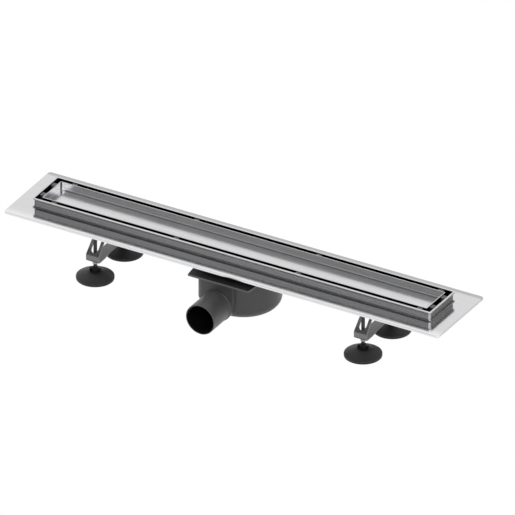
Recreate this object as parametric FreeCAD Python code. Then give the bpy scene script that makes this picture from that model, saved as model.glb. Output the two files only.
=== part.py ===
import FreeCAD, Part
import math
import os

# Linear shower drain with a tile tray, sealing flange, four levelling feet and a trap.
# Millimetres. +Z is up, +X runs along the channel, -Y is the side that the outlet pipe leaves by.
# The origin is the middle of the tray floor's upper face, where the tile is bedded.

Vector = FreeCAD.Vector
X_AXIS = Vector(1, 0, 0)
Y_AXIS = Vector(0, 1, 0)
Z_AXIS = Vector(0, 0, 1)
SIDES = (-1, 1)

# How far a cutting tool runs past the faces that it opens, and the least corner left inside.
cut_past = 1.0
least_corner = 0.3

# Tile tray: a folded sheet box that stands in the channel.
tray_length = 675.0
tray_width = 57.0
tray_depth = 15.0
tray_sheet = 1.5
tray_corner = 2.0

# Channel: a folded trough round the tray, its rim level with the tray's and lipped outwards.
end_slot = 8.5
side_slot = 6.25
drain_depth = 7.5
channel_fall = 2.0
channel_sheet = 1.5
channel_corner = 3.0
sump_half_length = 60.0
lip_reach = 2.5
lip_height = 4.0

# Sealing flange: a sheet collar round the channel, its outer edge turned down.
flange_end_border = 34.0
flange_side_border = 33.75
flange_drop = 16.5
flange_sheet = 1.5
flange_corner = 5.0
flange_hem = 3.5

# Spacers that centre the tray in the channel, and pads that it stands on.
spacer_length = 9.0
spacer_height = 9.0
spacer_drop = 1.0
spacer_play = 0.25
spacer_round = 1.0
side_spacer_count = 4
side_spacer_left_inset = 23.0
side_spacer_right_inset = 10.5
end_spacer_y = 16.5
support_length = 24.0
support_width = 40.0
support_inner_x = 110.0
support_end_inset = 37.5
support_round = 3.0

# Channel outlet, its gasket and its screws.
outlet_bore_r = 30.0
spigot_wall = 1.5
spigot_reach = 7.0
gasket_thickness = 1.5
gasket_margin = 8.0
screw_r = 2.5
screw_turn_deg = 28.0
screw_head_r = 4.6
screw_head_height = 2.8
screw_length = 13.0
screw_hole_play = 0.3
thread_play = 0.05
boss_wall = 2.6
boss_floor = 2.0
boss_gap = 2.0
screw_tip_gap = 0.5

# Trap: a round pot with a neck and an outlet pipe to the front, closed by a cover plate.
pot_r = 59.0
pot_wall = 3.0
pot_depth = 69.0
pot_round = 15.0
plate_thickness = 3.5
plate_overhang = 11.0
plate_front_width = 106.0
plate_margin = 3.0
plate_lean_deg = 6.0
plate_round = 1.2
neck_x = -8.0
neck_left = 12.5
neck_right = 2.0
neck_reach = 9.0
neck_drop = 4.5
neck_lap = 0.8
neck_low_round = 10.0
neck_corner_round = 12.0
pipe_r = 25.0
pipe_wall = 1.8
pipe_reach = 51.0
collar_step = 1.2
collar_length = 3.0
collar_bevel = 0.8

# Siphon cup that stands in the pot and holds the water seal round the dip tube.
cup_slot = 14.0
cup_wall = 2.5
cup_floor = 2.0
cup_height = 40.0
cup_play = 0.3
seat_ring_wall = 2.0
seat_ring_height = 4.0

# Dip tube with its seal ring, and the hair sieve in its mouth.
seal_width = 4.0
tube_wall = 2.0
tube_floor_gap = 12.0
tube_flange_lap = 2.5
tube_flange_thickness = 1.6
seal_height = 4.0
seal_play = 0.1
seal_drop = 2.5
sieve_thickness = 1.2
sieve_dish = 3.0
sieve_ledge = 2.0
sieve_play = 0.3
sieve_slots = 8
sieve_slot_width = 3.0
sieve_hub_r = 6.5
sieve_land = 2.5

# Leg brackets: one folded strip each, closed under the channel.
bracket_inset = 112.5
bracket_width = 22.5
bracket_top_width = 20.0
bracket_waist = 17.5
waist_half_length = 14.0
waist_taper = 20.0
bracket_sheet = 2.5
bracket_bend = 1.5
bracket_reach = 17.25
bracket_end_height = 12.0
bracket_top_inset = 16.25
bracket_seam = 2.0
window_width = 12.0
window_length = 26.0
window_play = 0.75

# Levelling feet: a threaded stud in a moulded pad, run through a bush and locked by a nut.
foot_inset = 9.0
floor_gap = 4.0
stud_r = 3.0
stud_top_gap = 8.0
stud_tip = 0.8
stud_seat = 7.0
pad_r = 29.5
pad_edge = 4.5
pad_dome = 4.0
pad_crown = 0.7
hub_wall = 1.6
hub_foot_r = 8.5
hub_flare = 4.5
hub_height = 20.0
hub_gap = 6.0
pad_recess = 2.0
pad_rim = 3.0
pad_boss_r = 8.0
pad_ribs = 6
pad_rib_width = 2.4
nut_flats = 10.0
nut_height = 5.0
nut_bevel_share = 0.9
bush_wall = 1.2
bush_height = 5.0
stud_hole_play = 0.6

# Plan sizes that follow from the tray, the slot round it and the sheets.
tray_half_length = tray_length / 2
tray_half_width = tray_width / 2
bore_half_length = tray_half_length + end_slot
bore_half_width = tray_half_width + side_slot
channel_length = 2 * (bore_half_length + channel_sheet)
channel_width = 2 * (bore_half_width + channel_sheet)
flange_length = channel_length + 2 * flange_end_border
flange_width = channel_width + 2 * flange_side_border
bracket_x = channel_length / 2 - bracket_inset
bracket_half_span = channel_width / 2 + bracket_reach
bracket_top_half = channel_width / 2 - bracket_top_inset
foot_y = bracket_half_span - foot_inset

# Levels, from the rim down to the floor.
rim_z = tray_depth
flange_top_z = rim_z - flange_drop
sump_z = -tray_sheet - drain_depth
sump_under_z = sump_z - channel_sheet
plate_top_z = sump_under_z - gasket_thickness
plate_under_z = plate_top_z - plate_thickness
pot_bottom_z = plate_under_z - pot_depth
pot_floor_z = pot_bottom_z + pot_wall
pipe_z = pot_bottom_z + pipe_r
foot_base_z = pot_bottom_z - floor_gap
bracket_base_z = foot_base_z + hub_height + hub_gap + bush_height
fold_z = bracket_base_z + bracket_end_height

# Trap sizes that follow from the bores they fit.
inlet_r = outlet_bore_r + spigot_wall + screw_hole_play
tube_r = outlet_bore_r - seal_width
neck_front_y = -pot_r - neck_reach
plate_front_y = neck_front_y - plate_overhang
pipe_mouth_y = neck_front_y - pipe_reach
cup_r = pot_r - pot_wall - cup_slot
seat_ring_r = cup_r + cup_play + seat_ring_wall
boss_r = screw_r + boss_wall
screw_ring_r = pot_r - pot_wall - boss_gap - boss_r
screw_x = screw_ring_r * math.cos(math.radians(screw_turn_deg))
screw_y = screw_ring_r * math.sin(math.radians(screw_turn_deg))
screw_places = [(sx * screw_x, sy * screw_y) for sx in SIDES for sy in SIDES]


def floor_z(x):
    """Upper face of the channel floor, which falls towards the sump in the middle."""
    run = channel_length / 2 - sump_half_length
    beyond = max(abs(x) - sump_half_length, 0.0)
    return sump_z + channel_fall * beyond / run


def block(x0, x1, y0, y1, z0, z1):
    return Part.makeBox(x1 - x0, y1 - y0, z1 - z0, Vector(x0, y0, z0))


def rod(radius, x, y, z0, z1):
    return Part.makeCylinder(radius, z1 - z0, Vector(x, y, z0), Z_AXIS)


def through_rod(radius, x, y, z0, z1):
    """Drill for a hole from z0 to z1, longer at both ends."""
    return rod(radius, x, y, z0 - cut_past, z1 + cut_past)


def round_rect(length, width, radius, z):
    """Closed wire of a rectangle with round corners, centred on the Z axis."""
    sheet = Part.makePlane(length, width, Vector(-length / 2, -width / 2, z))
    wire = sheet.OuterWire
    if radius > 0:
        wire = wire.makeOffset2D(-radius, 2).makeOffset2D(radius, 0)
    return wire


def round_prism(length, width, radius, z0, z1):
    return Part.Face(round_rect(length, width, radius, z0)).extrude(Z_AXIS * (z1 - z0))


def fuse_all(first, others):
    return first.multiFuse(others).removeSplitter()


def turned(points):
    """Solid of revolution about the Z axis from (radius, height) points."""
    outline = Part.makePolygon([Vector(r, 0, z) for r, z in points + points[:1]])
    return Part.Face(outline).revolve(Vector(0, 0, 0), Z_AXIS, 360)


def floor_prism(half_length, width, drop, top_z):
    """Prism along Y whose underside follows the channel floor, lowered by drop."""
    corners = [(-half_length, floor_z(half_length) - drop), (-sump_half_length, sump_z - drop),
               (sump_half_length, sump_z - drop), (half_length, floor_z(half_length) - drop),
               (half_length, top_z), (-half_length, top_z)]
    outline = [Vector(x, -width / 2, z) for x, z in corners]
    return Part.Face(Part.makePolygon(outline + outline[:1])).extrude(Y_AXIS * width)


def make_channel():
    shell = floor_prism(channel_length / 2, channel_width, channel_sheet, rim_z)
    body = shell.common(round_prism(channel_length, channel_width, channel_corner,
                                    sump_under_z - cut_past, rim_z))
    lip_low = round_rect(channel_length, channel_width, channel_corner, rim_z - lip_height)
    lip_high = round_rect(channel_length + 2 * lip_reach, channel_width + 2 * lip_reach,
                          channel_corner + lip_reach, rim_z - channel_sheet)
    lip = Part.makeLoft([lip_low, lip_high], True, True)
    lip_edge = round_prism(channel_length + 2 * lip_reach, channel_width + 2 * lip_reach,
                           channel_corner + lip_reach, rim_z - channel_sheet, rim_z)
    spigot = rod(outlet_bore_r + spigot_wall, 0, 0, sump_z - spigot_reach, sump_z)
    body = fuse_all(body, [lip, lip_edge, spigot])
    hollow = floor_prism(bore_half_length, 2 * bore_half_width, 0, rim_z + cut_past)
    inner_corner = max(channel_corner - channel_sheet, least_corner)
    hollow = hollow.common(round_prism(2 * bore_half_length, 2 * bore_half_width, inner_corner,
                                       sump_z - cut_past, rim_z + cut_past))
    cuts = [hollow, through_rod(outlet_bore_r, 0, 0, sump_z - spigot_reach, sump_z)]
    for x, y in screw_places:
        cuts.append(through_rod(screw_r + screw_hole_play, x, y, sump_under_z, sump_z))
    return body.cut(cuts)


def make_flange():
    low_z = flange_top_z - flange_hem
    plate = round_prism(flange_length, flange_width, flange_corner, low_z, flange_top_z)
    plate = plate.makeFillet(flange_sheet, [e for e in plate.Edges if edge_lies_at(e, flange_top_z)])
    inner_corner = max(flange_corner - flange_sheet, least_corner)
    under = round_prism(flange_length - 2 * flange_sheet, flange_width - 2 * flange_sheet,
                        inner_corner, low_z - cut_past, flange_top_z - flange_sheet)
    window = round_prism(channel_length, channel_width, channel_corner,
                         low_z - cut_past, flange_top_z + cut_past)
    return plate.cut([under, window])


def edge_lies_at(edge, z):
    return abs(edge.BoundBox.ZMin - z) < 0.01 and abs(edge.BoundBox.ZMax - z) < 0.01


def make_tray():
    box = round_prism(tray_length, tray_width, tray_corner, -tray_sheet, rim_z)
    box = box.makeFillet(tray_sheet, [e for e in box.Edges if edge_lies_at(e, -tray_sheet)])
    inner_corner = max(tray_corner - tray_sheet, least_corner)
    hollow = round_prism(tray_length - 2 * tray_sheet, tray_width - 2 * tray_sheet, inner_corner,
                         0, rim_z + cut_past)
    return box.cut(hollow)


def make_spacers():
    """Clips on the tray's outside that keep the drain slot even, in rows and in pairs."""
    top_z = rim_z - spacer_drop
    low_z = top_z - spacer_height
    half = spacer_length / 2
    first_x = side_spacer_left_inset - tray_half_length
    pitch = (tray_half_length - side_spacer_right_inset - first_x) / (side_spacer_count - 1)
    clips = []
    for sy in SIDES:
        side_y = sorted((sy * tray_half_width, sy * (bore_half_width - spacer_play)))
        for number in range(side_spacer_count):
            x = first_x + number * pitch
            clips.append(block(x - half, x + half, side_y[0], side_y[1], low_z, top_z))
        for sx in SIDES:
            end_x = sorted((sx * tray_half_length, sx * (bore_half_length - spacer_play)))
            y = sy * end_spacer_y
            clips.append(block(end_x[0], end_x[1], y - half, y + half, low_z, top_z))
    return Part.Compound([rounded_upright(clip, spacer_round) for clip in clips])


def rounded_upright(shape, radius):
    upright = [e for e in shape.Edges if e.BoundBox.ZLength > least_corner]
    return shape.makeFillet(radius, upright)


def make_supports():
    pads = []
    for side in SIDES:
        for x in (support_inner_x, tray_half_length - support_end_inset):
            middle = side * x
            foot_z = floor_z(x + support_length / 2)
            pad = block(middle - support_length / 2, middle + support_length / 2,
                        -support_width / 2, support_width / 2, foot_z, -tray_sheet)
            pads.append(rounded_upright(pad, support_round))
    return Part.Compound(pads)


def make_gasket():
    length = 2 * (screw_x + gasket_margin)
    sheet = round_prism(length, channel_width, gasket_margin, plate_top_z, sump_under_z)
    cuts = [through_rod(inlet_r, 0, 0, plate_top_z, sump_under_z)]
    for x, y in screw_places:
        cuts.append(through_rod(screw_r + screw_hole_play, x, y, plate_top_z, sump_under_z))
    return sheet.cut(cuts)


def make_screws():
    screws = []
    for x, y in screw_places:
        head = rod(screw_head_r, x, y, sump_z, sump_z + screw_head_height)
        shank = rod(screw_r, x, y, sump_z - screw_length, sump_z)
        screws.append(head.fuse(shank).removeSplitter())
    return Part.Compound(screws)


def pipe_rod(radius, y0, y1):
    return Part.makeCylinder(radius, y1 - y0, Vector(neck_x, y0, pipe_z), Y_AXIS)


def neck_box(inset, y0, y1):
    """Upper part of the neck housing, a box with round lower edges and a round front corner."""
    left = neck_x - pipe_r - neck_left + inset
    low_z = pipe_z - neck_drop + inset
    box = block(left, neck_x + pipe_r + neck_right - inset, y0, y1, low_z, plate_under_z)
    corner = [e for e in box.Edges if e.BoundBox.XMax < left + least_corner
              and e.BoundBox.YMax < y0 + least_corner and e.BoundBox.ZLength > least_corner]
    box = box.makeFillet(neck_corner_round - inset, corner)
    low_edges = [e for e in box.Edges if edge_lies_at(e, low_z) and e.BoundBox.YMax > y0 + least_corner]
    return box.makeFillet(neck_low_round - inset, low_edges)


def neck_round():
    """Lower part of the neck housing: round about the pipe, and flat where the pot's floor is."""
    above_floor = block(-pot_r, pot_r, neck_front_y, 0, pot_bottom_z, plate_under_z)
    return pipe_rod(pipe_r + neck_lap, neck_front_y, 0).common(above_floor)


def plate_outline():
    """Cover plate: round over the pot, run forward to a straight front edge."""
    plate_r = pot_r + plate_margin
    lean = math.radians(plate_lean_deg)
    front = plate_front_width / 2
    touch_x = plate_r * math.cos(lean)
    touch_y = -plate_r * math.sin(lean)
    back_arc = Part.Arc(Vector(touch_x, touch_y, plate_under_z), Vector(0, plate_r, plate_under_z),
                        Vector(-touch_x, touch_y, plate_under_z)).toShape()
    corners = [Vector(-touch_x, touch_y, plate_under_z), Vector(-front, plate_front_y, plate_under_z),
               Vector(front, plate_front_y, plate_under_z), Vector(touch_x, touch_y, plate_under_z)]
    return Part.Wire([back_arc] + Part.makePolygon(corners).Edges)


def make_trap_body():
    """Pot, neck and outlet pipe in one moulding, open at the top, with a seat for the cup."""
    pot = rod(pot_r, 0, 0, pot_bottom_z, plate_under_z)
    pot = pot.makeFillet(pot_round, [e for e in pot.Edges if edge_lies_at(e, pot_bottom_z)])
    # the collar goes all round, so that it stops the socket pushed over the pipe
    collar_y = neck_front_y - collar_length
    collar = pipe_rod(pipe_r + collar_step, collar_y, neck_front_y)
    collar = collar.makeChamfer(collar_bevel, [e for e in collar.Edges
                                               if e.BoundBox.YMax < collar_y + least_corner])
    pipe = pipe_rod(pipe_r, pipe_mouth_y, neck_front_y)
    outside = fuse_all(pot, [neck_box(0, neck_front_y, 0), neck_round(), collar, pipe])
    chamber = rod(pot_r - pot_wall, 0, 0, pot_floor_z, plate_under_z)
    # this chamfer keeps the wall its thickness in the middle of the pot's round corner
    corner_cut = (pot_round - pot_wall) * (2 - math.sqrt(2))
    chamber = chamber.makeChamfer(corner_cut, [e for e in chamber.Edges
                                               if edge_lies_at(e, pot_floor_z)])
    bore = pipe_rod(pipe_r - pipe_wall, pipe_mouth_y - cut_past, -seat_ring_r - cut_past)
    hollow = fuse_all(chamber, [neck_box(pot_wall, neck_front_y + pot_wall, 0), bore])
    ring = rod(seat_ring_r, 0, 0, pot_floor_z, pot_floor_z + seat_ring_height)
    ring_bore = rod(cup_r + cup_play, 0, 0, pot_floor_z, pot_floor_z + seat_ring_height)
    return outside.cut(hollow.cut(ring.cut(ring_bore)))


def make_trap_cover():
    """Plate over the pot and neck, with the inlet and a blind boss for each screw."""
    plate = rounded_upright(Part.Face(plate_outline()).extrude(Z_AXIS * plate_thickness), plate_round)
    hole_low = sump_z - screw_length - screw_tip_gap
    bosses = [rod(boss_r, x, y, hole_low - boss_floor, plate_top_z) for x, y in screw_places]
    cuts = [through_rod(inlet_r, 0, 0, plate_under_z, plate_top_z)]
    for x, y in screw_places:
        cuts.append(rod(screw_r + thread_play, x, y, hole_low, plate_top_z + cut_past))
    return fuse_all(plate, bosses).cut(cuts)


def make_siphon_cup():
    inner_r = cup_r - cup_wall
    top_z = pot_floor_z + cup_height
    floor_top_z = pot_floor_z + cup_floor
    return turned([(0.0, pot_floor_z), (cup_r, pot_floor_z), (cup_r, top_z), (inner_r, top_z),
                   (inner_r, floor_top_z), (0.0, floor_top_z)])


def make_dip_tube():
    low_z = pot_floor_z + cup_floor + tube_floor_gap
    tube_flange_r = outlet_bore_r + tube_flange_lap
    points = [(tube_r, low_z), (tube_r, sump_z), (tube_flange_r, sump_z),
              (tube_flange_r, sump_z + tube_flange_thickness),
              (tube_r - tube_wall, sump_z + tube_flange_thickness), (tube_r - tube_wall, low_z)]
    return turned(points)


def make_seal():
    top_z = sump_z - seal_drop
    low_z = top_z - seal_height
    inner = tube_r + seal_play
    outer = outlet_bore_r - seal_play
    third = seal_height / 3
    return turned([(inner, low_z), (outer, low_z + third), (outer, top_z - third), (inner, top_z)])


def make_sieve():
    """Dished strainer whose radial slots let water through and hold back hair."""
    rim_r = tube_r - tube_wall - sieve_play
    seat_z = sump_z + tube_flange_thickness
    ledge_r = tube_r + sieve_ledge
    low_z = seat_z - sieve_dish
    points = [(0.0, low_z), (rim_r - sieve_dish, low_z), (rim_r, seat_z), (ledge_r, seat_z),
              (ledge_r, seat_z + sieve_thickness), (rim_r - sieve_thickness, seat_z + sieve_thickness),
              (rim_r - sieve_dish - sieve_thickness, low_z + sieve_thickness),
              (0.0, low_z + sieve_thickness)]
    dish = turned(points)
    slot_end = rim_r - sieve_dish - sieve_land
    slots = []
    for number in range(sieve_slots):
        slot = block(sieve_hub_r, slot_end, -sieve_slot_width / 2, sieve_slot_width / 2,
                     low_z - cut_past, low_z + sieve_thickness + cut_past)
        slot.rotate(Vector(0, 0, 0), Z_AXIS, 360.0 * number / sieve_slots)
        slots.append(slot)
    return dish.cut(slots)


def bracket_top_z():
    """Level of the bracket's top leaf, face to face with the channel's underside."""
    return floor_z(bracket_x - bracket_width / 2) - channel_sheet


def bracket_section(x):
    """Ring of the folded strip's outer and inner outlines, in the YZ plane."""
    corners = [(-bracket_half_span, bracket_base_z), (bracket_half_span, bracket_base_z),
               (bracket_half_span, fold_z), (bracket_top_half, bracket_top_z()),
               (-bracket_top_half, bracket_top_z()), (-bracket_half_span, fold_z)]
    points = [Vector(x, y, z) for y, z in corners]
    sharp = Part.makePolygon(points + points[:1])
    core = sharp.makeOffset2D(-(bracket_sheet + bracket_bend), 2)
    outer = core.makeOffset2D(bracket_sheet + bracket_bend, 0)
    inner = core.makeOffset2D(bracket_bend, 0)
    return Part.Face(outer).cut(Part.Face(inner))


def bracket_taper(side):
    """Upright envelope that narrows the strip from its end faces up to its top leaf."""
    low = bracket_width / 2
    top = bracket_top_width / 2
    centre = side * bracket_x
    base_z = bracket_base_z - cut_past
    high_z = bracket_top_z() + cut_past
    corners = [(-low, base_z), (low, base_z), (low, fold_z), (top, high_z), (-top, high_z),
               (-low, fold_z)]
    reach = bracket_half_span + cut_past
    points = [Vector(centre + x, -reach, z) for x, z in corners]
    return Part.Face(Part.makePolygon(points + points[:1])).extrude(Y_AXIS * 2 * reach)


def bracket_waist_cut(side, edge):
    """Wedge that narrows the strip's base between the feet, on one of its long edges."""
    wide = bracket_width / 2
    middle = side * bracket_x
    waist_end = waist_half_length + waist_taper
    corners = [(wide, -waist_end), (bracket_waist / 2, -waist_half_length),
               (bracket_waist / 2, waist_half_length), (wide, waist_end),
               (wide + cut_past, waist_end), (wide + cut_past, -waist_end)]
    low_z = bracket_base_z - cut_past
    points = [Vector(middle + edge * x, y, low_z) for x, y in corners]
    height = bracket_sheet + 2 * cut_past
    return Part.Face(Part.makePolygon(points + points[:1])).extrude(Z_AXIS * height)


def bracket_window(side, facing):
    """Long hole through one sloping leaf, which the stud rises through."""
    run = bracket_half_span - bracket_top_half
    slope = math.atan2(bracket_top_z() - fold_z, run)
    stud_edge = foot_inset - stud_r - window_play
    start = (stud_edge - bracket_sheet * math.sin(slope)) / math.cos(slope)
    tool = round_slot(window_width, window_length, 4 * bracket_sheet)
    tool.translate(Vector(0, start + window_length / 2, -2 * bracket_sheet))
    tool.rotate(Vector(0, 0, 0), X_AXIS, math.degrees(slope))
    tool.translate(Vector(side * bracket_x, -bracket_half_span, fold_z))
    if facing > 0:
        tool = tool.mirror(Vector(0, 0, 0), Y_AXIS)
    return tool


def round_slot(width, length, depth):
    """Prism with round ends along Y, centred in plan and standing on z = 0."""
    radius = width / 2
    straight = length / 2 - radius
    middle = block(-radius, radius, -straight, straight, 0, depth)
    ends = [rod(radius, 0, s * straight, 0, depth) for s in SIDES]
    return fuse_all(middle, ends)


def make_bracket(side):
    centre = side * bracket_x
    strip = bracket_section(centre - bracket_width / 2).extrude(X_AXIS * bracket_width)
    strip = strip.common(bracket_taper(side))
    seam = block(centre - bracket_width, centre + bracket_width, -bracket_seam / 2, bracket_seam / 2,
                 bracket_top_z() - bracket_sheet - cut_past, bracket_top_z() + cut_past)
    cuts = [seam]
    for facing in SIDES:
        cuts.append(bracket_waist_cut(side, facing))
        cuts.append(bracket_window(side, facing))
        cuts.append(through_rod(stud_r + stud_hole_play, centre, facing * foot_y, bracket_base_z,
                                bracket_base_z + bracket_sheet))
    return strip.cut(cuts)


def make_nut(x, y, low_z):
    """Hexagon nut with chamfered corners and a plain bore for the stud."""
    corner_r = nut_flats / math.sqrt(3)
    corners = []
    for number in range(6):
        angle = math.radians(60 * number)
        corners.append(Vector(x + corner_r * math.cos(angle), y + corner_r * math.sin(angle), low_z))
    body = Part.Face(Part.makePolygon(corners + corners[:1])).extrude(Z_AXIS * nut_height)
    trim = rod(corner_r, x, y, low_z, low_z + nut_height)
    bevel = (corner_r - nut_flats / 2) * nut_bevel_share
    trim = trim.makeChamfer(bevel, [trim.Edges[0], trim.Edges[2]])
    return body.common(trim).cut(through_rod(stud_r + thread_play, x, y, low_z, low_z + nut_height))


def make_bush(x, y, low_z):
    """Round threaded bush, pressed into the bracket's base from below."""
    body = rod(stud_r + bush_wall, x, y, low_z, low_z + bush_height)
    return body.cut(through_rod(stud_r + thread_play, x, y, low_z, low_z + bush_height))


def at_each_foot(make_piece, low_z):
    return Part.Compound([make_piece(sx * bracket_x, sy * foot_y, low_z) for sx in SIDES for sy in SIDES])


def make_stud(x, y):
    top_z = flange_top_z - stud_top_gap
    low_z = foot_base_z + hub_height - stud_seat
    stud = rod(stud_r, x, y, low_z, top_z)
    return stud.makeChamfer(stud_tip, [e for e in stud.Edges if edge_lies_at(e, top_z)])


def make_pad(x, y):
    """Round foot: shallow dome, tapered hub, and a recessed underside with radial ribs."""
    hub_r = stud_r + hub_wall
    dome_z = pad_edge + pad_dome
    crown_r = (pad_r + hub_foot_r) / 2
    crown_z = pad_edge + pad_dome / 2 + pad_crown
    pad = turned([(0.0, 0.0), (pad_r, 0.0), (pad_r, pad_edge), (crown_r, crown_z),
                  (hub_foot_r, dome_z), (hub_r, dome_z + hub_flare), (hub_r, hub_height),
                  (0.0, hub_height)])
    recess = rod(pad_r - pad_rim, 0, 0, -cut_past, pad_recess)
    keep = [rod(pad_boss_r, 0, 0, -cut_past, pad_recess)]
    for number in range(pad_ribs):
        rib = block(0, pad_r, -pad_rib_width / 2, pad_rib_width / 2, -cut_past, pad_recess)
        rib.rotate(Vector(0, 0, 0), Z_AXIS, 360.0 * number / pad_ribs)
        keep.append(rib)
    pad = pad.cut(recess.cut(keep))
    pad = pad.cut(rod(stud_r + thread_play, 0, 0, hub_height - stud_seat, hub_height + cut_past))
    pad.translate(Vector(x, y, foot_base_z))
    return pad


def build():
    nodes = {
        "channel_trough": make_channel(),
        "sealing_flange": make_flange(),
        "tile_tray": make_tray(),
        "tray_spacers": make_spacers(),
        "tray_supports": make_supports(),
        "trap_body": make_trap_body(),
        "trap_cover": make_trap_cover(),
        "siphon_cup": make_siphon_cup(),
        "trap_gasket": make_gasket(),
        "trap_screws": make_screws(),
        "dip_tube": make_dip_tube(),
        "dip_tube_seal": make_seal(),
        "hair_sieve": make_sieve(),
        "leg_bracket_left": make_bracket(-1),
        "leg_bracket_right": make_bracket(1),
        "upper_nuts": at_each_foot(make_nut, bracket_base_z + bracket_sheet),
        "lower_nuts": at_each_foot(make_bush, bracket_base_z - bush_height),
    }
    for row, sy in (("front", -1), ("rear", 1)):
        for end, sx in (("left", -1), ("right", 1)):
            nodes["foot_stud_%s_%s" % (row, end)] = make_stud(sx * bracket_x, sy * foot_y)
            nodes["foot_pad_%s_%s" % (row, end)] = make_pad(sx * bracket_x, sy * foot_y)
    return nodes


os.makedirs("parts", exist_ok=True)
for name, shape in build().items():
    shape.exportStep("parts/%s.step" % name)
    print(name, len(shape.Solids), shape.isValid(), round(shape.Volume))
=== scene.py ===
import bpy
import bmesh
import math
from mathutils import Matrix, Vector


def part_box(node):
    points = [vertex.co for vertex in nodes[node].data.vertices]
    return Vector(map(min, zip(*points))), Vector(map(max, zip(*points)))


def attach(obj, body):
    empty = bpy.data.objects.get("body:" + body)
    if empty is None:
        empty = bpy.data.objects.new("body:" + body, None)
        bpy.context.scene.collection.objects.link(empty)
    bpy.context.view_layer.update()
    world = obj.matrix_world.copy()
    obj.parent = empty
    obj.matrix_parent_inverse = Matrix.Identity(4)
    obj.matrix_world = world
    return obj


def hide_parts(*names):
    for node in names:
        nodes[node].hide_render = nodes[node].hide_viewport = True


# Linear shower drain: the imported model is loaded, dressed and lit here. Metres, +Z up.
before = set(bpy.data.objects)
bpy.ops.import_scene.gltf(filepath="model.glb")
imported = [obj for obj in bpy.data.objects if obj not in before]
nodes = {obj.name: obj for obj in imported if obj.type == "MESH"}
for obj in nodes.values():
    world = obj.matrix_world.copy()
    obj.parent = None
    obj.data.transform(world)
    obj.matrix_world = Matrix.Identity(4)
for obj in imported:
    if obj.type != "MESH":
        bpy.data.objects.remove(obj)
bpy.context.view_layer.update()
print("frame loaded:", len(nodes), "nodes")

feet = ["front_left", "front_right", "rear_left", "rear_right"]
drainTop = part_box("tile_tray")[1].z
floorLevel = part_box("foot_pad_front_left")[0].z

# picking: places closer than this count as the same, an edge is upright when this share of its
# length rises, and a face is level or on its side when its normal's Z is past or under these
closeBy = 0.0003
uprightShare = 0.8
levelNormal = 0.9
sideNormal = 0.1
smoothAngle = math.radians(50)


def freshStart():
    # nothing stays selected from the import or from the piece before
    if bpy.context.object and bpy.context.object.mode != "OBJECT":
        bpy.ops.object.mode_set(mode="OBJECT")
    bpy.ops.object.select_all(action="DESELECT")


# camera: parallel view, 30 degrees round to the right and 30 degrees down, as in the photo
view = {
    "azimuth": 30.0,
    "elevation": 30.0,
    "photoPixels": 515,
    "pixelsPerMetre": 658.0,
    "originPixel": (243.8, 254.2),   # where the middle of the flange lies in the photo
    "distance": 3.0,
    "clipEnd": 20.0,
}


def makeCamera(cfg):
    azimuth = math.radians(cfg["azimuth"])
    elevation = math.radians(cfg["elevation"])
    back = Vector((math.sin(azimuth) * math.cos(elevation),
                   -math.cos(azimuth) * math.cos(elevation), math.sin(elevation)))
    right = Vector((math.cos(azimuth), math.sin(azimuth), 0))
    up = back.cross(right)
    middle = cfg["photoPixels"] / 2
    aside = (middle - cfg["originPixel"][0]) / cfg["pixelsPerMetre"]
    below = (middle - cfg["originPixel"][1]) / cfg["pixelsPerMetre"]
    target = Vector((0, 0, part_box("sealing_flange")[1].z)) + right * aside - up * below
    bpy.ops.object.camera_add(location=target + back * cfg["distance"])
    camera = bpy.context.object
    camera.name = "photoCamera"
    camera.rotation_euler = (math.radians(90) - elevation, 0, azimuth)
    camera.data.type = "ORTHO"
    camera.data.ortho_scale = cfg["photoPixels"] / cfg["pixelsPerMetre"]
    camera.data.clip_end = cfg["clipEnd"]
    bpy.context.scene.camera = camera


freshStart()
makeCamera(view)
print("camera set")


# node helpers, so that each material reads as a short list of steps
def addNode(tree, kind, **settings):
    node = tree.nodes.new(kind)
    for key, value in settings.items():
        setattr(node, key, value)
    return node


def ramp(tree, stops):
    node = tree.nodes.new("ShaderNodeValToRGB")
    node.color_ramp.elements[0].position = stops[0][0]
    node.color_ramp.elements[0].color = (*stops[0][1], 1)
    node.color_ramp.elements[1].position = stops[-1][0]
    node.color_ramp.elements[1].color = (*stops[-1][1], 1)
    for place, color in stops[1:-1]:
        node.color_ramp.elements.new(place).color = (*color, 1)
    return node


def grey(value):
    return (value, value, value * 1.015)


def calc(tree, operation, *values):
    # one step of arithmetic, where a value is a socket to link or a number to set
    node = addNode(tree, "ShaderNodeMath", operation=operation)
    for socket, value in zip(node.inputs, values):
        if isinstance(value, bpy.types.NodeSocket):
            tree.links.new(value, socket)
        else:
            socket.default_value = value
    return node.outputs[0]


def blendTone(tree, mask, color, value):
    # the colour turns to a grey where the mask is 1
    mix = addNode(tree, "ShaderNodeMix", data_type="RGBA")
    mix.inputs["B"].default_value = (*grey(value), 1)
    tree.links.new(mask, mix.inputs["Factor"])
    tree.links.new(color, mix.inputs["A"])
    return mix.outputs["Result"]


def newMaterial(name):
    material = bpy.data.materials.new(name)
    material.use_nodes = True
    tree = material.node_tree
    tree.nodes.clear()
    output = addNode(tree, "ShaderNodeOutputMaterial")
    shader = addNode(tree, "ShaderNodeBsdfPrincipled")
    tree.links.new(shader.outputs["BSDF"], output.inputs["Surface"])
    coords = addNode(tree, "ShaderNodeTexCoord")
    return material, tree, shader, coords.outputs["Object"]


def newGroup(name, inputs, outputs):
    group = bpy.data.node_groups.new(name, "ShaderNodeTree")
    for label, kind, value in inputs:
        socket = group.interface.new_socket(label, in_out="INPUT", socket_type=kind)
        if value is not None:
            socket.default_value = value
    for label, kind in outputs:
        group.interface.new_socket(label, in_out="OUTPUT", socket_type=kind)
    return group, group.nodes.new("NodeGroupInput"), group.nodes.new("NodeGroupOutput")


undersideNormal = -0.3   # a face whose normal's Z is lower than this looks down


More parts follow.
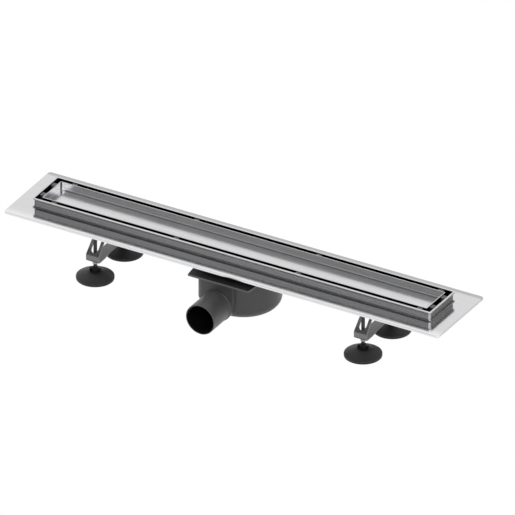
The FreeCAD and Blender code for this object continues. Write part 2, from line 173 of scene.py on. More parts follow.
# painted shade mask: 1 on the faces that look into the drain slot, which are painted near-black as shade,
# 0 on the rim, outside and underneath
def makeSlotShadeGroup():
    group, source, sink = newGroup(
        "slotShade",
        [("Vector", "NodeSocketVector", None), ("Half Length", "NodeSocketFloat", 0.3),
         ("Half Width", "NodeSocketFloat", 0.03), ("Rim", "NodeSocketFloat", 0.015),
         ("Outward", "NodeSocketFloat", 1.0), ("Normal", "NodeSocketVector", None)],
        [("Mask", "NodeSocketFloat")])
    place = addNode(group, "ShaderNodeSeparateXYZ")
    tilt = addNode(group, "ShaderNodeSeparateXYZ")
    group.links.new(source.outputs["Vector"], place.inputs[0])
    group.links.new(source.outputs["Normal"], tilt.inputs[0])
    awayX = calc(group, "ABSOLUTE", place.outputs["X"])
    awayY = calc(group, "ABSOLUTE", place.outputs["Y"])
    past = calc(group, "MAXIMUM", calc(group, "GREATER_THAN", awayX, source.outputs["Half Length"]),
                calc(group, "GREATER_THAN", awayY, source.outputs["Half Width"]))
    otherSide = calc(group, "ABSOLUTE", calc(group, "SUBTRACT", source.outputs["Outward"], past))
    inSlot = calc(group, "SUBTRACT", 1.0, otherSide)
    below = calc(group, "LESS_THAN", place.outputs["Z"], source.outputs["Rim"])
    upper = calc(group, "GREATER_THAN", tilt.outputs["Z"], undersideNormal)
    mask = calc(group, "MULTIPLY", calc(group, "MULTIPLY", inSlot, below), upper)
    group.links.new(mask, sink.inputs["Mask"])
    return group


# radial mask: 1 near an endless axis, fading to 0 between two distances
# where Mirrored is 1, the axis stands in all four quarters
def makeAxisGroup():
    group, source, sink = newGroup(
        "nearAxis",
        [("Vector", "NodeSocketVector", None), ("Centre", "NodeSocketVector", (0, 0, 0)),
         ("Along", "NodeSocketVector", (1, 1, 0)), ("Mirrored", "NodeSocketFloat", 0.0),
         ("Inner", "NodeSocketFloat", 0.01), ("Outer", "NodeSocketFloat", 0.011)],
        [("Mask", "NodeSocketFloat")])
    link = group.links.new
    folded = addNode(group, "ShaderNodeVectorMath", operation="ABSOLUTE")
    chosen = addNode(group, "ShaderNodeMix", data_type="VECTOR")
    away = addNode(group, "ShaderNodeVectorMath", operation="SUBTRACT")
    flat = addNode(group, "ShaderNodeVectorMath", operation="MULTIPLY")
    far = addNode(group, "ShaderNodeVectorMath", operation="LENGTH")
    fade = addNode(group, "ShaderNodeMapRange", interpolation_type="SMOOTHSTEP")
    fade.inputs["To Min"].default_value = 1.0
    fade.inputs["To Max"].default_value = 0.0
    link(source.outputs["Vector"], folded.inputs[0])
    link(source.outputs["Mirrored"], chosen.inputs["Factor"])
    link(source.outputs["Vector"], chosen.inputs["A"])
    link(folded.outputs[0], chosen.inputs["B"])
    link(chosen.outputs["Result"], away.inputs[0])
    link(source.outputs["Centre"], away.inputs[1])
    link(away.outputs[0], flat.inputs[0])
    link(source.outputs["Along"], flat.inputs[1])
    link(flat.outputs[0], far.inputs[0])
    link(far.outputs["Value"], fade.inputs["Value"])
    link(source.outputs["Inner"], fade.inputs["From Min"])
    link(source.outputs["Outer"], fade.inputs["From Max"])
    link(fade.outputs["Result"], sink.inputs["Mask"])
    return group


# brushed grain: fine noise drawn out along the channel
def makeBrushGroup():
    group, source, sink = newGroup(
        "brushedGrain",
        [("Vector", "NodeSocketVector", None), ("Stretch", "NodeSocketVector", (6, 900, 900)),
         ("Low", "NodeSocketFloat", 0.2), ("High", "NodeSocketFloat", 0.3)],
        [("Grain", "NodeSocketFloat"), ("Roughness", "NodeSocketFloat")])
    scaled = addNode(group, "ShaderNodeVectorMath", operation="MULTIPLY")
    fine = addNode(group, "ShaderNodeTexNoise")
    fine.inputs["Scale"].default_value = 1.0
    fine.inputs["Detail"].default_value = 3.0
    spread = addNode(group, "ShaderNodeMapRange")
    spread.inputs["From Min"].default_value = 0.3
    spread.inputs["From Max"].default_value = 0.7
    link = group.links.new
    link(source.outputs["Vector"], scaled.inputs[0])
    link(source.outputs["Stretch"], scaled.inputs[1])
    link(scaled.outputs[0], fine.inputs["Vector"])
    link(fine.outputs["Fac"], spread.inputs["Value"])
    link(source.outputs["Low"], spread.inputs["To Min"])
    link(source.outputs["High"], spread.inputs["To Max"])
    link(fine.outputs["Fac"], sink.inputs["Grain"])
    link(spread.outputs["Result"], sink.inputs["Roughness"])
    return group


# soft marks left by handling: large clouds broken by smaller ones
def makeMarksGroup():
    group, source, sink = newGroup(
        "handlingMarks",
        [("Vector", "NodeSocketVector", None), ("Scale", "NodeSocketFloat", 14.0),
         ("Amount", "NodeSocketFloat", 0.3)],
        [("Mask", "NodeSocketFloat")])
    cloud = addNode(group, "ShaderNodeTexNoise")
    cloud.inputs["Detail"].default_value = 5.0
    cloud.inputs["Roughness"].default_value = 0.62
    edge = addNode(group, "ShaderNodeMapRange")
    edge.inputs["From Min"].default_value = 0.42
    edge.inputs["From Max"].default_value = 0.72
    link = group.links.new
    link(source.outputs["Vector"], cloud.inputs["Vector"])
    link(source.outputs["Scale"], cloud.inputs["Scale"])
    link(cloud.outputs["Fac"], edge.inputs["Value"])
    link(source.outputs["Amount"], edge.inputs["To Max"])
    link(edge.outputs["Result"], sink.inputs["Mask"])
    return group


# moulded plastic skin: a fine even spark texture with a slow tone drift
def makeSkinGroup():
    group, source, sink = newGroup(
        "mouldedSkin",
        [("Vector", "NodeSocketVector", None), ("Grain", "NodeSocketFloat", 2200.0),
         ("Drift", "NodeSocketFloat", 18.0)],
        [("Height", "NodeSocketFloat"), ("Tone", "NodeSocketFloat")])
    fine = addNode(group, "ShaderNodeTexNoise")
    fine.inputs["Detail"].default_value = 2.0
    slow = addNode(group, "ShaderNodeTexNoise")
    slow.inputs["Detail"].default_value = 3.0
    link = group.links.new
    link(source.outputs["Vector"], fine.inputs["Vector"])
    link(source.outputs["Grain"], fine.inputs["Scale"])
    link(source.outputs["Vector"], slow.inputs["Vector"])
    link(source.outputs["Drift"], slow.inputs["Scale"])
    link(fine.outputs["Fac"], sink.inputs["Height"])
    link(slow.outputs["Fac"], sink.inputs["Tone"])
    return group


slotShade = makeSlotShadeGroup()
nearAxis = makeAxisGroup()
brushedGrain = makeBrushGroup()
handlingMarks = makeMarksGroup()
mouldedSkin = makeSkinGroup()


def useGroup(tree, group, vector, **values):
    node = addNode(tree, "ShaderNodeGroup", node_tree=group)
    tree.links.new(vector, node.inputs["Vector"])
    for key, value in values.items():
        node.inputs[key].default_value = value
    return node


# how deep the bump of the steels' grain and of the plastics' skin would be at full strength
grainDepth = 0.0002
skinDepth = 0.0003


def addBump(tree, shader, height, strength, distance):
    bump = addNode(tree, "ShaderNodeBump")
    bump.inputs["Strength"].default_value = strength
    bump.inputs["Distance"].default_value = distance
    tree.links.new(height, bump.inputs["Height"])
    tree.links.new(bump.outputs["Normal"], shader.inputs["Normal"])


# one builder for the sheet steels: tone, polish and the way the grain runs
def makeSteel(name, cfg):
    material, tree, shader, place = newMaterial(name)
    link = tree.links.new
    shader.inputs["Metallic"].default_value = 1.0
    grain = useGroup(tree, brushedGrain, place, Stretch=cfg["stretch"],
                     Low=cfg["polish"][0], High=cfg["polish"][1])
    marks = useGroup(tree, handlingMarks, place, Scale=cfg["markScale"], Amount=cfg["markAmount"])
    tone = ramp(tree, [(0.3, grey(cfg["tone"][0])), (0.7, grey(cfg["tone"][1]))])
    link(grain.outputs["Grain"], tone.inputs["Fac"])
    color = tone.outputs["Color"]
    # the faces in the drain slot are painted near-black: painted shade
    if "slot" in cfg:
        inside = useGroup(tree, slotShade, place, **cfg["slot"])
        facing = addNode(tree, "ShaderNodeTexCoord")
        link(facing.outputs["Normal"], inside.inputs["Normal"])
        color = blendTone(tree, inside.outputs["Mask"], color, cfg["slotShadeTone"])
    if "shadeAndSheenBands" in cfg:
        # strips along the edges: painted shade darkens the rear strip and a painted reflection brightens
        # the front one
        split = addNode(tree, "ShaderNodeSeparateXYZ")
        link(place, split.inputs[0])
        for start, full, value in cfg["shadeAndSheenBands"]:
            across = addNode(tree, "ShaderNodeMapRange", interpolation_type="SMOOTHSTEP")
            across.inputs["From Min"].default_value = start
            across.inputs["From Max"].default_value = full
            link(split.outputs["Y"], across.inputs["Value"])
            color = blendTone(tree, across.outputs["Result"], color, value)
    link(color, shader.inputs["Base Color"])
    rough = calc(tree, "ADD", grain.outputs["Roughness"], marks.outputs["Mask"])
    link(rough, shader.inputs["Roughness"])
    addBump(tree, shader, grain.outputs["Grain"], cfg["bump"], grainDepth)
    return material


rim = drainTop - 0.0002   # only the rim's own face lies above this
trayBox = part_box("tile_tray")

# channel: the slots round the tray, the sheet, and how far from the tray the painted shade inside the slot
# reaches
channelShape = {"endSlot": 0.0085, "sideSlot": 0.00625, "sheet": 0.0015,
                "endShadeReach": 0.0094, "sideShadeReach": 0.0071, "shadeAboveRim": 0.001}


def channelWall(proud=0.0):
    # half length and half width of the channel's outer faces
    past = channelShape["sheet"] + proud
    return (trayBox[1].x + channelShape["endSlot"] + past,
            trayBox[1].y + channelShape["sideSlot"] + past)


trayShadeInset = 0.0004   # the tray's outer faces lie past this, its inner ones don't

steels = {
    "flange": {"tone": (0.60, 0.68), "polish": (0.09, 0.15), "stretch": (5, 700, 700),
               "markScale": 11.0, "markAmount": 0.04, "bump": 0.01,
               # flange edge strips: painted shade at the rear, painted reflection at the front
               "shadeAndSheenBands": [(0.0600, 0.0645, 0.44), (-0.050, -0.068, 0.78)]},
    "channel": {"tone": (0.56, 0.66), "polish": (0.16, 0.26), "stretch": (5, 900, 900),
                "markScale": 9.0, "markAmount": 0.08, "bump": 0.04,
                # the channel's slot walls and the rim's inner edge are painted near-black as shade
                "slot": {"Half Length": trayBox[1].x + channelShape["endShadeReach"],
                         "Half Width": trayBox[1].y + channelShape["sideShadeReach"],
                         "Rim": drainTop + channelShape["shadeAboveRim"], "Outward": 0.0},
                "slotShadeTone": 0.03},
    "tray": {"tone": (0.60, 0.70), "polish": (0.15, 0.23), "stretch": (5, 800, 800),
             "markScale": 13.0, "markAmount": 0.06, "bump": 0.02,
             # the tray's outer faces in the slot are painted near-black as shade
             "slot": {"Half Length": trayBox[1].x - trayShadeInset,
                      "Half Width": trayBox[1].y - trayShadeInset,
                      "Rim": rim, "Outward": 1.0}, "slotShadeTone": 0.03},
    "bracket": {"tone": (0.16, 0.23), "polish": (0.24, 0.38), "stretch": (900, 8, 900),
                "markScale": 40.0, "markAmount": 0.12, "bump": 0.06},
    # the cove's dark tone: painted shade in the crease where the channel wall meets the flange
    "weld": {"tone": (0.20, 0.30), "polish": (0.26, 0.38), "stretch": (250, 500, 500),
             "markScale": 60.0, "markAmount": 0.12, "bump": 0.06},
    "fastener": {"tone": (0.30, 0.42), "polish": (0.25, 0.40), "stretch": (400, 400, 400),
                 "markScale": 90.0, "markAmount": 0.15, "bump": 0.05},
    "stud": {"tone": (0.05, 0.09), "polish": (0.22, 0.34), "stretch": (500, 500, 60),
             "markScale": 80.0, "markAmount": 0.12, "bump": 0.04},
}


# one builder for the moulded plastics and the rubber
def makePlastic(name, cfg):
    material, tree, shader, place = newMaterial(name)
    link = tree.links.new
    skin = useGroup(tree, mouldedSkin, place, Grain=cfg["grain"], Drift=cfg["drift"])
    marks = useGroup(tree, handlingMarks, place, Scale=cfg["drift"] * 2, Amount=cfg["scuff"])
    tone = ramp(tree, [(0.3, grey(cfg["tone"][0])), (0.7, grey(cfg["tone"][1]))])
    link(skin.outputs["Tone"], tone.inputs["Fac"])
    color = tone.outputs["Color"]
    # near an axis the colour is painted darker: painted shade in the pipe's bore and round the foot's hub
    if "dark" in cfg:
        near = useGroup(tree, nearAxis, place, **cfg["dark"])
        color = blendTone(tree, near.outputs["Mask"], color, cfg["darkTone"])
    # faces that look up are painted darker: painted shade under the flange
    if "topShadeTone" in cfg:
        facing = addNode(tree, "ShaderNodeTexCoord")
        split = addNode(tree, "ShaderNodeSeparateXYZ")
        upper = addNode(tree, "ShaderNodeMapRange")
        upper.inputs["From Min"].default_value = 0.5
        upper.inputs["From Max"].default_value = 0.9
        link(facing.outputs["Normal"], split.inputs[0])
        link(split.outputs["Z"], upper.inputs["Value"])
        color = blendTone(tree, upper.outputs["Result"], color, cfg["topShadeTone"])
    link(color, shader.inputs["Base Color"])
    rough = calc(tree, "ADD", marks.outputs["Mask"], cfg["roughness"])
    link(rough, shader.inputs["Roughness"])
    shader.inputs["Specular IOR Level"].default_value = cfg["specular"]
    addBump(tree, shader, skin.outputs["Height"], cfg["bump"], skinDepth)
    return material


footAxis = (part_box("foot_pad_front_right")[0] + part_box("foot_pad_front_right")[1]) / 2
pipeX = -0.008
pipeRadius = 0.025
pipeAxis = (pipeX, 0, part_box("trap_body")[0].z + pipeRadius)
# the painted shade of the bore ends within the pipe's wall, but as its axis has no end it also darkens a
# disc on the pot's rear wall
boreShadeRadii = (pipeRadius - 0.0014, pipeRadius - 0.0012)

plastics = {
    "trap": {"tone": (0.050, 0.066), "roughness": 0.38, "specular": 0.5, "grain": 1500.0,
             "drift": 16.0, "scuff": 0.10, "bump": 0.10,
             # the pipe's bore is painted near-black as shade
             "dark": {"Centre": pipeAxis, "Along": (1, 0, 1), "Inner": boreShadeRadii[0],
                      "Outer": boreShadeRadii[1]}, "darkTone": 0.004},
    # the cover's upper faces are painted darker as shade
    "cover": {"tone": (0.080, 0.098), "roughness": 0.40, "specular": 0.4, "grain": 1500.0,
              "drift": 16.0, "scuff": 0.10, "bump": 0.12, "topShadeTone": 0.010},
    "foot": {"tone": (0.020, 0.030), "roughness": 0.42, "specular": 0.25, "grain": 1800.0,
             "drift": 30.0, "scuff": 0.12, "bump": 0.12,
             # round the hub the pad is painted dark as shade
             "dark": {"Centre": (footAxis.x, -footAxis.y, 0), "Mirrored": 1.0, "Inner": 0.005,
                      "Outer": 0.014}, "darkTone": 0.007},
    "insert": {"tone": (0.42, 0.50), "roughness": 0.4, "specular": 0.5, "grain": 1600.0,
               "drift": 30.0, "scuff": 0.08, "bump": 0.08},
    "spacer": {"tone": (0.05, 0.08), "roughness": 0.45, "specular": 0.5, "grain": 1600.0,
               "drift": 60.0, "scuff": 0.10, "bump": 0.10},
    "rubber": {"tone": (0.012, 0.020), "roughness": 0.62, "specular": 0.35, "grain": 1200.0,
               "drift": 40.0, "scuff": 0.12, "bump": 0.20},
}

finish = {name: makeSteel(name + "Steel", cfg) for name, cfg in steels.items()}
finish.update({name: makePlastic(name + "Plastic", cfg) for name, cfg in plastics.items()})
print("materials made:", len(finish))

finishOf = {
    "channel_trough": "channel", "sealing_flange": "flange", "tile_tray": "tray",
    "tray_spacers": "spacer", "tray_supports": "rubber", "trap_body": "trap",
    "trap_cover": "cover", "siphon_cup": "insert", "trap_gasket": "rubber",
    "trap_screws": "fastener", "dip_tube": "insert", "dip_tube_seal": "rubber",
    "hair_sieve": "insert", "leg_bracket_left": "bracket", "leg_bracket_right": "bracket",
    "upper_nuts": "fastener", "lower_nuts": "fastener",
}
for foot in feet:
    finishOf["foot_pad_" + foot] = "foot"
    finishOf["foot_stud_" + foot] = "stud"


def paint(piece, material):
    piece.data.materials.clear()
    piece.data.materials.append(material)


for name, piece in nodes.items():
    paint(piece, finish[finishOf[name]])
print("nodes painted")


# modelling helpers: pick works on the piece in edit mode, the others on the active object
def pick(kind, test):
    bpy.ops.mesh.select_mode(type={"faces": "FACE", "edges": "EDGE", "verts": "VERT"}[kind])
    bpy.ops.mesh.select_all(action="DESELECT")
    mesh = bmesh.from_edit_mesh(bpy.context.object.data)
    for item in getattr(mesh, kind):
        item.select_set(test(item))
    bmesh.update_edit_mesh(bpy.context.object.data)


def middle(edge):
    return (edge.verts[0].co + edge.verts[1].co) / 2


def upright(edge):
    return abs(edge.verts[0].co.z - edge.verts[1].co.z) > uprightShare * edge.calc_length()


def addBlock(name, low, high):
    freshStart()
    bpy.ops.mesh.primitive_cube_add(size=1, location=(low + high) / 2, scale=high - low)
    block = bpy.context.object
    block.name = name
    bpy.ops.object.transform_apply(location=True, rotation=True, scale=True)
    return block


def applyModifier(piece, kind, **settings):
    modifier = piece.modifiers.new(kind.lower(), kind)
    for key, value in settings.items():
        setattr(modifier, key, value)
    bpy.ops.object.modifier_apply(modifier=modifier.name)


def softenEdges(piece, width, sharp=40):
    applyModifier(piece, "BEVEL", width=width, segments=2, limit_method="ANGLE",
                  angle_limit=math.radians(sharp), use_clamp_overlap=False)
    bpy.ops.object.shade_smooth_by_angle(angle=smoothAngle)
    applyModifier(piece, "WEIGHTED_NORMAL", keep_sharp=True)


def dress(piece, node, body="drain"):
    # the piece takes the node's place, body and finish
    paint(piece, finish[finishOf[node]])
    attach(piece, body)
    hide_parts(node)


# tile tray: one sheet, folded up on four sides, its corners welded and dressed
# bed is how far the floor's upper face is drawn above the CAD's, and above mount tile_bed
trayShape = {"sheet": 0.0015, "bed": 0.0026, "foldInside": 0.0024, "foldSteps": 5,
             "level": 0.00005, "corner": 0.002, "cornerSteps": 4, "edge": 0.00025}


def foldTray(cfg):
    low, high = (Vector(c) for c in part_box("tile_tray"))
    wall = Vector((cfg["sheet"], cfg["sheet"], cfg["sheet"]))
    floorHeight = low.z + wall.z + cfg["bed"]
    tray = addBlock("tileTrayFolded", Vector((low.x + wall.x, low.y + wall.y, floorHeight)),
                    Vector((high.x - wall.x, high.y - wall.y, high.z)))
    bpy.ops.object.mode_set(mode="EDIT")
    pick("faces", lambda f: f.normal.z > levelNormal)
    bpy.ops.mesh.delete(type="ONLY_FACE")
    # the two long edges of the floor
    pick("edges", lambda e: not upright(e) and middle(e).z < floorHeight + closeBy
         and abs(middle(e).x) < closeBy)
    bpy.ops.mesh.bevel(offset=cfg["foldInside"], segments=cfg["foldSteps"])
    bpy.ops.object.mode_set(mode="OBJECT")
    applyModifier(tray, "SOLIDIFY", thickness=cfg["sheet"], offset=1, use_even_offset=True)
    bpy.ops.object.mode_set(mode="EDIT")
    # the underside goes back down to the pads that carry the tray
    pick("verts", lambda v: v.co.z < floorHeight - cfg["sheet"] + cfg["level"])
    bpy.ops.transform.translate(value=(0, 0, -cfg["bed"]))
    pick("edges", lambda e: upright(e) and abs(middle(e).x) > high.x - closeBy)
    bpy.ops.mesh.bevel(offset=cfg["corner"], segments=cfg["cornerSteps"])
    bpy.ops.object.mode_set(mode="OBJECT")
    softenEdges(tray, cfg["edge"])
    dress(tray, "tile_tray")


foldTray(trayShape)
print("tray folded")

# corner beads: a thin dark weld down each inner corner of the tray
beadShape = {"radius": 0.0009, "inset": 0.0004, "below": 0.0006, "sides": 10, "smooth": 40}


def runBeads(cfg):
    low, high = (Vector(c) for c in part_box("tile_tray"))
    sheet = trayShape["sheet"]
    insideX, insideY = high.x - sheet - cfg["inset"], high.y - sheet - cfg["inset"]
    top = high.z - cfg["below"]
    beads = []
    for sideX in (-1, 1):
        for sideY in (-1, 1):
            freshStart()
            bpy.ops.mesh.primitive_cylinder_add(
                vertices=cfg["sides"], radius=cfg["radius"], depth=top,
                location=(sideX * insideX, sideY * insideY, top / 2))
            bead = bpy.context.object
            bpy.ops.object.mode_set(mode="EDIT")
            pick("edges", lambda e: not upright(e) and middle(e).z > 0)
            bpy.ops.mesh.bevel(offset=cfg["radius"] / 2, segments=2)
            bpy.ops.object.mode_set(mode="OBJECT")
            bpy.ops.object.shade_smooth_by_angle(angle=math.radians(cfg["smooth"]))
            beads.append(bead)
    for bead in beads:
        bead.select_set(True)
    bpy.ops.object.join()
    weld = bpy.context.object
    weld.name = "trayCornerBeads"
    bpy.ops.object.transform_apply(location=True, rotation=True, scale=True)
    paint(weld, finish["stud"])
    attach(weld, "drain")


runBeads(beadShape)
print("tray corners welded")

# sealing flange: thin plate round the channel, its outer edge turned down with a tight fold
flangeShape = {"sheet": 0.0015, "corner": 0.005, "cornerSteps": 6, "windowCorner": 0.003,
               "windowSteps": 5, "cutPast": 0.01, "edge": 0.0004}


def foldFlange(cfg):
    low, high = (Vector(c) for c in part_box("sealing_flange"))
    # the window is the channel's own outline just below its lip
    wallX, wallY = channelWall()
    cutter = addBlock("flangeWindow", Vector((-wallX, -wallY, low.z - cfg["cutPast"])),
                      Vector((wallX, wallY, high.z + cfg["cutPast"])))
    bpy.ops.object.mode_set(mode="EDIT")
    pick("edges", upright)
    bpy.ops.mesh.bevel(offset=cfg["windowCorner"], segments=cfg["windowSteps"])
    bpy.ops.object.mode_set(mode="OBJECT")
    flange = addBlock("flangeFolded", low, high)
    bpy.ops.object.mode_set(mode="EDIT")
    pick("edges", upright)
    bpy.ops.mesh.bevel(offset=cfg["corner"], segments=cfg["cornerSteps"])
    pick("faces", lambda f: f.normal.z < -levelNormal)
    bpy.ops.mesh.delete(type="ONLY_FACE")
    bpy.ops.object.mode_set(mode="OBJECT")
    applyModifier(flange, "SOLIDIFY", thickness=cfg["sheet"], offset=-1, use_even_offset=True)
    applyModifier(flange, "BOOLEAN", operation="DIFFERENCE", object=cutter, solver="EXACT")
    bpy.data.objects.remove(cutter)
    softenEdges(flange, cfg["edge"])
    dress(flange, "sealing_flange")


foldFlange(flangeShape)
print("flange folded")

# weld cove: the small hollow bead that closes the joint between channel wall and flange; its dark tone is
# painted shade in the crease at the wall's foot
coveShape = {"radius": 0.0030, "steps": 5, "skin": 0.0004, "proud": 0.00004, "corner": 0.003,
             "cornerSteps": 6, "foldShare": 0.97, "level": 0.000001}


def runCove(cfg):
    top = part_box("sealing_flange")[1].z + cfg["proud"]
    wallX, wallY = channelWall(cfg["proud"])
    freshStart()
    bpy.ops.mesh.primitive_plane_add(size=1, location=(0, 0, top))
    cove = bpy.context.object
    cove.name = "weldCove"
    cove.scale = (2 * (wallX + cfg["radius"]), 2 * (wallY + cfg["radius"]), 1)
    bpy.ops.object.transform_apply(location=True, rotation=True, scale=True)
    bpy.ops.object.mode_set(mode="EDIT")
    pick("verts", lambda v: True)
    bpy.ops.mesh.bevel(offset=cfg["corner"] + cfg["radius"], segments=cfg["cornerSteps"],
                       affect="VERTICES")
    pick("faces", lambda f: True)
    bpy.ops.mesh.inset(thickness=cfg["radius"])
    bpy.ops.mesh.extrude_region_move(TRANSFORM_OT_translate={"value": (0, 0, cfg["radius"])})
    pick("faces", lambda f: f.calc_center_median().z > top + cfg["radius"] - closeBy)
    bpy.ops.mesh.delete(type="ONLY_FACE")
    pick("edges", lambda e: len(e.link_faces) == 2 and all(
        abs(v.co.z - top) < cfg["level"] for v in e.verts) and any(
        abs(f.normal.z) < sideNormal for f in e.link_faces))
    bpy.ops.mesh.bevel(offset=cfg["radius"] * cfg["foldShare"], segments=cfg["steps"])
    bpy.ops.object.mode_set(mode="OBJECT")
    applyModifier(cove, "SOLIDIFY", thickness=cfg["skin"], offset=-1)
    bpy.ops.object.shade_smooth_by_angle(angle=smoothAngle)
    # the cove's dark tone is painted shade in the crease
    paint(cove, finish["weld"])
    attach(cove, "drain")


runCove(coveShape)
print("weld cove run round the channel")

# formed and moulded parts: the CAD shape is joined up and its edges are softened
softened = {
    "channel_trough": 0.00030, "leg_bracket_left": 0.00035, "leg_bracket_right": 0.00035,
    "trap_body": 0.00035, "trap_cover": 0.0007, "tray_spacers": 0.0004, "upper_nuts": 0.0002,
    "lower_nuts": 0.0003,
}
softened.update({"foot_pad_" + foot: 0.0006 for foot in feet})
joinWithin = 0.00001
flatWithin = math.radians(0.6)

# the dome's rings and how far each is drawn up: radius, lowest height above the floor, lift
domeLifts = [(0.0190, 0.005, 0.0022), (0.0085, 0.006, 0.0042), (0.0046, 0.0125, 0.0034)]
domeTop = 0.0145   # the pad's upper end, which stays where it is


def drawUpDome(piece):
    low, high = piece.bound_box[0], piece.bound_box[6]
    axis = Vector(((low[0] + high[0]) / 2, (low[1] + high[1]) / 2))
    bpy.ops.object.mode_set(mode="EDIT")
    for radius, above, lift in domeLifts:
        def onRing(vertex):
            far = (Vector((vertex.co.x, vertex.co.y)) - axis).length
            height = vertex.co.z - floorLevel
            return abs(far - radius) < closeBy and above < height < domeTop
        pick("verts", onRing)
        bpy.ops.transform.translate(value=(0, 0, lift))
    bpy.ops.object.mode_set(mode="OBJECT")


def softCopy(node, width):
    freshStart()
    words = node.split("_")
    piece = bpy.data.objects.new(words[0] + "".join(w.title() for w in words[1:]) + "Soft",
                                 nodes[node].data.copy())
    bpy.context.collection.objects.link(piece)
    piece.select_set(True)
    bpy.context.view_layer.objects.active = piece
    if piece.data.has_custom_normals:
        bpy.ops.mesh.customdata_custom_splitnormals_clear()
    bpy.ops.object.mode_set(mode="EDIT")
    bpy.ops.mesh.select_all(action="SELECT")
    bpy.ops.mesh.remove_doubles(threshold=joinWithin)
    bpy.ops.mesh.dissolve_limited(angle_limit=flatWithin)
    bpy.ops.object.mode_set(mode="OBJECT")
    if node.startswith("foot_pad"):
        drawUpDome(piece)
    softenEdges(piece, width)
    body = node.replace("foot_pad_", "foot_") if node.startswith("foot_pad") else "drain"
    dress(piece, node, body)


for node, width in softened.items():
    softCopy(node, width)
print("softened parts:", len(softened))

# levelling studs: a core with a rolled thread wound round it
studShape = {"core": 0.00255, "crest": 0.00298, "pitch": 0.00125, "steps": 14, "tip": 0.0006,
             "sides": 24, "smooth": 35}


def threadStud(cfg):
    low, high = (Vector(c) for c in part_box("foot_stud_" + feet[0]))
    centre = (low + high) / 2
    length = high.z - low.z
    freshStart()
    bpy.ops.mesh.primitive_cylinder_add(vertices=cfg["sides"], radius=cfg["core"], depth=length,
                                        location=centre)
    core = bpy.context.object
    core.name = "studCore"
    bpy.ops.object.mode_set(mode="EDIT")
    pick("edges", lambda e: not upright(e))
    bpy.ops.mesh.bevel(offset=cfg["tip"], segments=1)
    bpy.ops.object.mode_set(mode="OBJECT")
    bpy.ops.object.shade_smooth_by_angle(angle=math.radians(cfg["smooth"]))
    # the ridge's section is a diamond: its inner point lies in the core, its outer point is the crest
    freshStart()
    reach = cfg["crest"] - cfg["core"]
    turns = math.floor((length - 2 * cfg["tip"]) / cfg["pitch"] - 1)
    start = low.z + cfg["tip"] + cfg["pitch"] / 2
    bpy.ops.mesh.primitive_circle_add(vertices=4, radius=reach, fill_type="NOTHING",
                                      location=(centre.x, centre.y, start),
                                      rotation=(math.radians(90), 0, 0))
    ridge = bpy.context.object
    ridge.name = "studThread"
    bpy.ops.object.mode_set(mode="EDIT")
    bpy.ops.mesh.select_all(action="SELECT")
    bpy.ops.transform.translate(value=(cfg["core"], 0, 0))
    bpy.ops.object.mode_set(mode="OBJECT")
    bpy.ops.object.transform_apply(location=False, rotation=True, scale=True)
    applyModifier(ridge, "SCREW", axis="Z", steps=cfg["steps"], render_steps=cfg["steps"],
                  screw_offset=cfg["pitch"], iterations=turns, use_merge_vertices=False)
    bpy.ops.object.mode_set(mode="EDIT")
    bpy.ops.mesh.select_mode(type="EDGE")
    bpy.ops.mesh.select_all(action="DESELECT")
    bpy.ops.mesh.select_non_manifold(extend=False)
    bpy.ops.mesh.edge_face_add()
    bpy.ops.mesh.select_all(action="SELECT")
    bpy.ops.mesh.normals_make_consistent(inside=False)
    bpy.ops.object.mode_set(mode="OBJECT")
    core.select_set(True)
    bpy.context.view_layer.objects.active = core
    bpy.ops.object.join()
    bpy.ops.object.transform_apply(location=True, rotation=True, scale=True)
    return core


firstStud = threadStud(studShape)
for foot in feet:
    offset = Vector(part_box("foot_stud_" + foot)[0]) - Vector(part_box("foot_stud_" + feet[0])[0])
    stud = bpy.data.objects.new("studThreaded_" + foot, firstStud.data.copy())
    bpy.context.collection.objects.link(stud)
    stud.data.transform(Matrix.Translation(offset))
    dress(stud, "foot_stud_" + foot, "foot_" + foot)
bpy.data.objects.remove(firstStud)
print("studs threaded:", len(feet))


# studio: pale floor, white surround and three soft lamps
studio = {
    "floorSize": 12.0,
    "floorTone": 0.92,
    "worldTone": 0.58,
    "roomTone": 0.085,   # what polished steel sees where no soft box stands
    # soft boxes as polished steel sees them: direction, cosine of the outer edge and of the core, strength
    "softBoxes": [
        ((-0.433, 0.75, 0.5), 0.52, 0.90, 0.97),
        ((0.88, -0.15, 0.45), 0.55, 0.92, 1.40),
        ((-0.433, -0.76, 0.48), 0.91, 0.99, 0.34),
        ((0.46, -0.75, 0.47), 0.82, 0.96, 1.9),
    ],
    "lamps": [
        ("keyLamp", (-2.0, -0.9, 2.2), 1.2, 72.0),
        ("sideLamp", (2.6, -0.4, 1.0), 1.4, 16.0),
        ("backLamp", (0.4, 2.6, 1.8), 1.8, 24.0),
    ],
}


def makeFloor(cfg):
    freshStart()
    bpy.ops.mesh.primitive_plane_add(size=cfg["floorSize"], location=(0, 0, floorLevel))
    floor = bpy.context.object
    floor.name = "studioFloor"
    material, tree, shader, place = newMaterial("studioFloor")
    shader.inputs["Base Color"].default_value = (*grey(cfg["floorTone"]), 1)
    shader.inputs["Roughness"].default_value = 0.9
    glow = addNode(tree, "ShaderNodeEmission")
    paths = addNode(tree, "ShaderNodeLightPath")
    seen = calc(tree, "MAXIMUM", paths.outputs["Is Camera Ray"], paths.outputs["Is Glossy Ray"])
    mix = addNode(tree, "ShaderNodeMixShader")
    link = tree.links.new
    link(seen, mix.inputs["Fac"])
    link(shader.outputs["BSDF"], mix.inputs[1])
    link(glow.outputs["Emission"], mix.inputs[2])
    output = next(n for n in tree.nodes if n.type == "OUTPUT_MATERIAL")
    link(mix.outputs[0], output.inputs["Surface"])
    paint(floor, material)


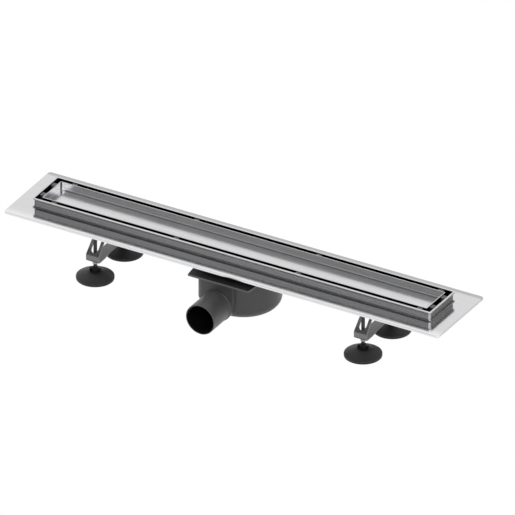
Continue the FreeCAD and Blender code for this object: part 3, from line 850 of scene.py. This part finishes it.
def makeWorld(cfg):
    world = bpy.data.worlds.new("studioWorld")
    bpy.context.scene.world = world
    world.use_nodes = True
    tree = world.node_tree
    tree.nodes.clear()
    link = tree.links.new
    output = addNode(tree, "ShaderNodeOutputWorld")
    paths = addNode(tree, "ShaderNodeLightPath")
    even = addNode(tree, "ShaderNodeBackground")
    even.inputs["Strength"].default_value = cfg["worldTone"]
    white = addNode(tree, "ShaderNodeBackground")
    room = addNode(tree, "ShaderNodeBackground")
    for node in (even, white, room):
        node.inputs["Color"].default_value = (1, 1, 1, 1)
    place = addNode(tree, "ShaderNodeTexCoord")
    total = cfg["roomTone"]
    for direction, edge, core, strength in cfg["softBoxes"]:
        near = addNode(tree, "ShaderNodeVectorMath", operation="DOT_PRODUCT")
        near.inputs[1].default_value = Vector(direction).normalized()
        glow = addNode(tree, "ShaderNodeMapRange", interpolation_type="SMOOTHSTEP")
        glow.inputs["From Min"].default_value = edge
        glow.inputs["From Max"].default_value = core
        glow.inputs["To Max"].default_value = strength
        link(place.outputs["Generated"], near.inputs[0])
        link(near.outputs["Value"], glow.inputs["Value"])
        total = calc(tree, "ADD", glow.outputs["Result"], total)
    link(total, room.inputs["Strength"])
    shiny = addNode(tree, "ShaderNodeMixShader")
    link(paths.outputs["Is Glossy Ray"], shiny.inputs["Fac"])
    link(even.outputs[0], shiny.inputs[1])
    link(room.outputs[0], shiny.inputs[2])
    seen = addNode(tree, "ShaderNodeMixShader")
    link(paths.outputs["Is Camera Ray"], seen.inputs["Fac"])
    link(shiny.outputs[0], seen.inputs[1])
    link(white.outputs[0], seen.inputs[2])
    link(seen.outputs[0], output.inputs["Surface"])


def makeLamps(cfg):
    for name, place, size, power in cfg["lamps"]:
        freshStart()
        bpy.ops.object.light_add(type="AREA", location=place)
        lamp = bpy.context.object
        lamp.name = name
        lamp.data.size = size
        lamp.data.energy = power
        lamp.visible_glossy = False   # steel sees the soft boxes of the world instead
        aim = Vector((0, 0, 0)) - Vector(place)
        lamp.rotation_euler = aim.to_track_quat("-Z", "Y").to_euler()


makeFloor(studio)
makeWorld(studio)
makeLamps(studio)
bpy.context.scene.view_settings.view_transform = "Standard"
print("studio lit")
